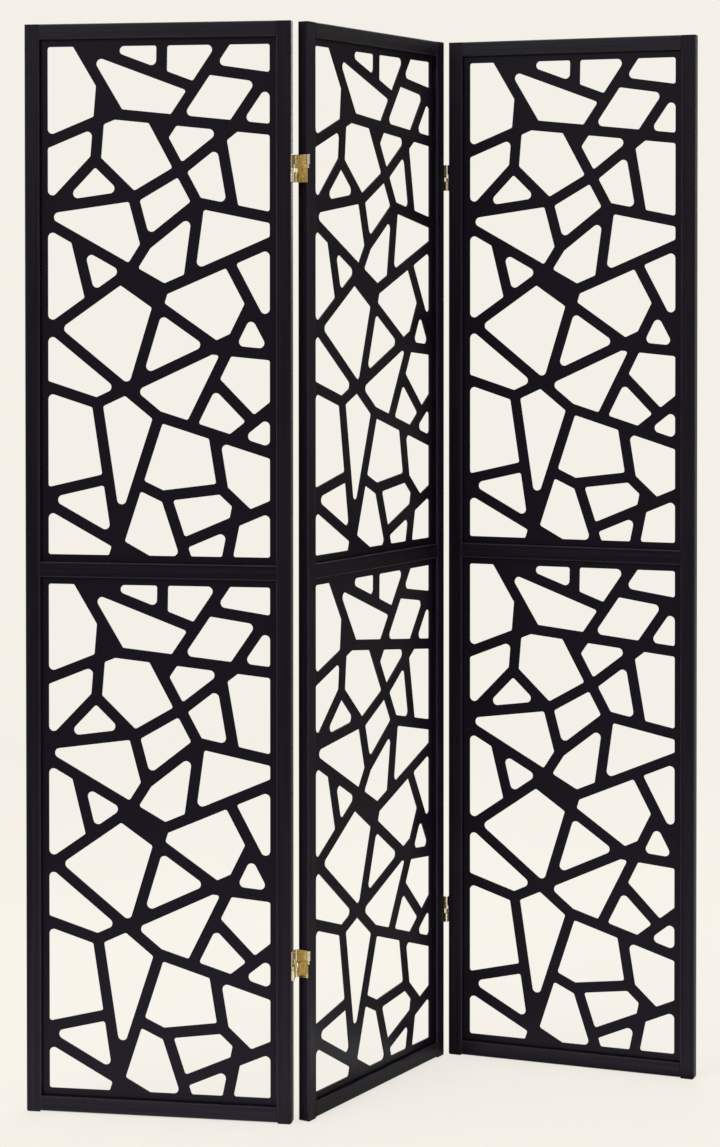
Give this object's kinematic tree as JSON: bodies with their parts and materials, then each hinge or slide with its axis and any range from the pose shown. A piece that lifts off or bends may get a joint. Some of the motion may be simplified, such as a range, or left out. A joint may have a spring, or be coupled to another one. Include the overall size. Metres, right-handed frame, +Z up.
{
  "type": "folding screen",
  "caption": "Free-standing folding screen of slim black framed panels with cut-out irregular lattice sheets, joined by double-action brass hinges and standing in a zigzag.",
  "frame": {"origin": "on the floor under the middle of the bounding box of the screen as it stands in the picture", "axes": "+Z up, -Y towards the viewer of the picture, +X to the viewer's right"},
  "size_m": [1.1232, 0.4266, 1.784],
  "materials": {
    "frame": "satin black paint on wood",
    "fretwork": "satin black paint on cut-out board",
    "hinge_brass": "polished brass",
    "hinge_pin": "drawn brass"
  },
  "bodies": {
    "left_panel": {"left_fold_lower_hinge_left_leaf": "hinge_brass", "left_fold_lower_hinge_lower_link": "hinge_brass", "left_fold_lower_hinge_lower_pins": "hinge_pin", "left_fold_upper_hinge_left_leaf": "hinge_brass", "left_fold_upper_hinge_lower_link": "hinge_brass", "left_fold_upper_hinge_lower_pins": "hinge_pin", "left_panel_bottom_rail": "frame", "left_panel_left_stile": "frame", "left_panel_lower_fretwork": "fretwork", "left_panel_middle_rail": "frame", "left_panel_right_stile": "frame", "left_panel_top_rail": "frame", "left_panel_upper_fretwork": "fretwork"},
    "middle_panel": {"left_fold_lower_hinge_right_leaf": "hinge_brass", "left_fold_lower_hinge_upper_link": "hinge_brass", "left_fold_lower_hinge_upper_pins": "hinge_pin", "left_fold_upper_hinge_right_leaf": "hinge_brass", "left_fold_upper_hinge_upper_link": "hinge_brass", "left_fold_upper_hinge_upper_pins": "hinge_pin", "middle_panel_bottom_rail": "frame", "middle_panel_left_stile": "frame", "middle_panel_lower_fretwork": "fretwork", "middle_panel_middle_rail": "frame", "middle_panel_right_stile": "frame", "middle_panel_top_rail": "frame", "middle_panel_upper_fretwork": "fretwork", "right_fold_lower_hinge_left_leaf": "hinge_brass", "right_fold_lower_hinge_upper_link": "hinge_brass", "right_fold_lower_hinge_upper_pins": "hinge_pin", "right_fold_upper_hinge_left_leaf": "hinge_brass", "right_fold_upper_hinge_upper_link": "hinge_brass", "right_fold_upper_hinge_upper_pins": "hinge_pin"},
    "right_panel": {"right_fold_lower_hinge_lower_link": "hinge_brass", "right_fold_lower_hinge_lower_pins": "hinge_pin", "right_fold_lower_hinge_right_leaf": "hinge_brass", "right_fold_upper_hinge_lower_link": "hinge_brass", "right_fold_upper_hinge_lower_pins": "hinge_pin", "right_fold_upper_hinge_right_leaf": "hinge_brass", "right_panel_bottom_rail": "frame", "right_panel_left_stile": "frame", "right_panel_lower_fretwork": "fretwork", "right_panel_middle_rail": "frame", "right_panel_right_stile": "frame", "right_panel_top_rail": "frame", "right_panel_upper_fretwork": "fretwork"}
  },
  "joints": [
    {"name": "left_fold", "type": "hinge", "parent": "left_panel", "child": "middle_panel", "pos_m": [-0.11689, -0.18644, 0], "axis": [0, 0, 1], "range_deg": [-69, 111]},
    {"name": "right_fold", "type": "hinge", "parent": "middle_panel", "child": "right_panel", "pos_m": [0.13613, 0.18768, 0], "axis": [0, 0, 1], "range_deg": [-100, 80]}
  ]
}
